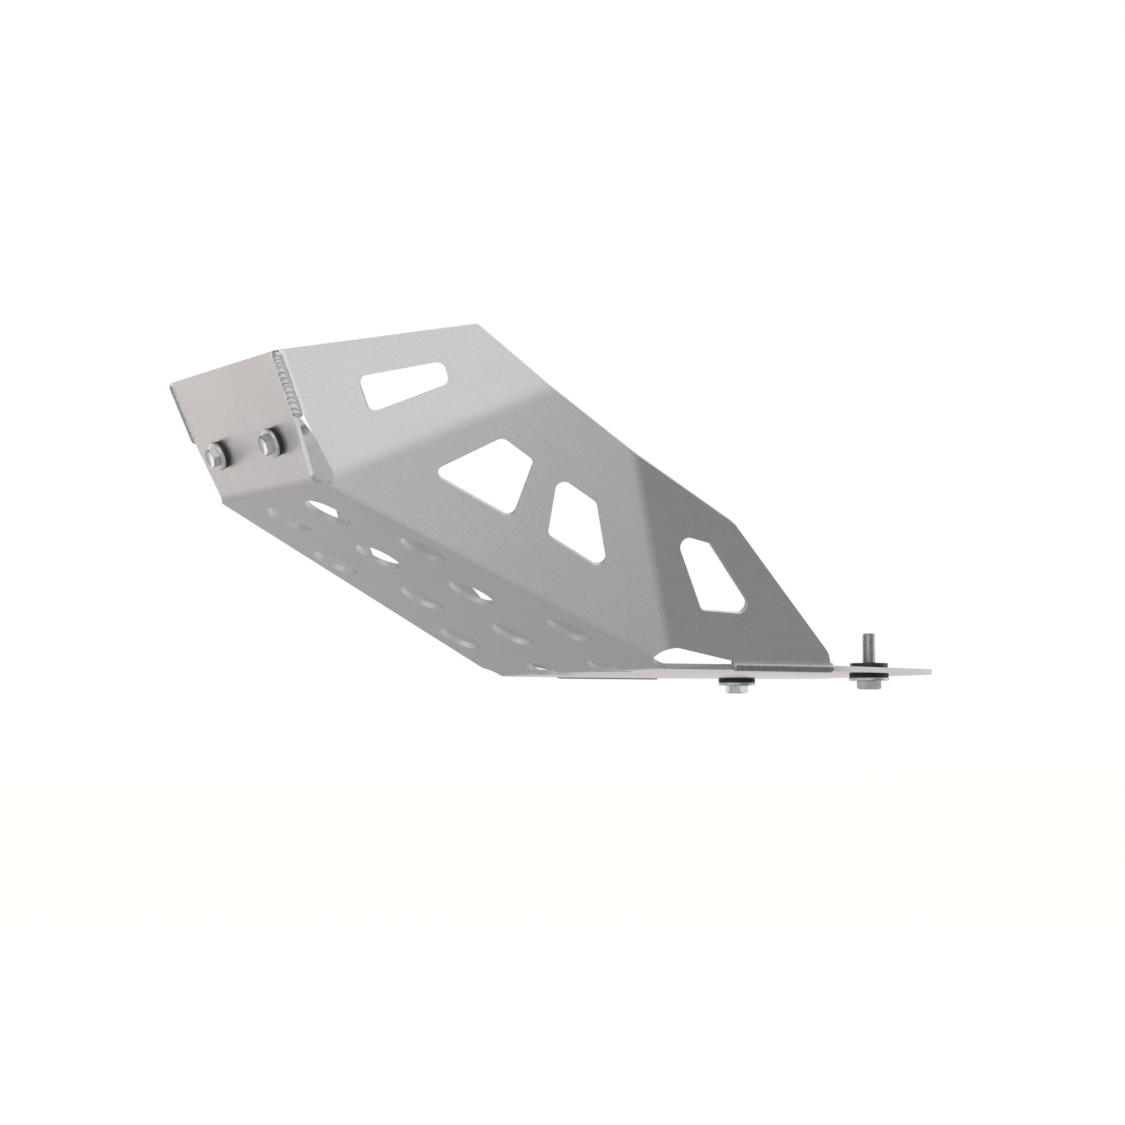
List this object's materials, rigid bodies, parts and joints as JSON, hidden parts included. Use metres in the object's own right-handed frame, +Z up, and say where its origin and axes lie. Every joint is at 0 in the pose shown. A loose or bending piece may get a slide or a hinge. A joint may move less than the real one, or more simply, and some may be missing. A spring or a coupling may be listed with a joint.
{
  "type": "motorcycle skid plate",
  "caption": "Folded and welded aluminium skid plate with round holes in its slope, windows in its raised sides and rubber-cushioned bolts that hold it under an engine.",
  "frame": {"origin": "midway between the two rear bolts, level with the upper faces of their spacers, where the plate meets the motorcycle", "axes": "+X to the rear of the motorcycle, +Y to its right-hand side, +Z up; the flat part of the plate is level"},
  "size_m": [0.546, 0.3996, 0.2367],
  "materials": {
    "sheet": "satin, finely brushed, weld beads along four corners",
    "bright_zinc": "bright zinc plate",
    "washer_steel": "dull zinc plate",
    "black_rubber": "matt",
    "sleeve_steel": "turned",
    "dark_spacer": "smooth dark grey"
  },
  "bodies": {
    "root": {"skid_plate": "sheet", "front_bolt_left": "bright_zinc", "front_bolt_right": "bright_zinc", "front_steel_washer_left": "washer_steel", "front_steel_washer_right": "washer_steel", "front_rubber_washer_left": "black_rubber", "front_rubber_washer_right": "black_rubber", "front_sleeve_left": "sleeve_steel", "front_sleeve_right": "sleeve_steel", "front_spacer_left": "dark_spacer", "front_spacer_right": "dark_spacer", "rear_bolt_left": "bright_zinc", "rear_bolt_right": "bright_zinc", "rear_steel_washer_left": "washer_steel", "rear_steel_washer_right": "washer_steel", "rear_rubber_washer_left": "black_rubber", "rear_rubber_washer_right": "black_rubber", "rear_sleeve_left": "sleeve_steel", "rear_sleeve_right": "sleeve_steel", "rear_spacer_left": "dark_spacer", "rear_spacer_right": "dark_spacer"}
  },
  "joints": []
}
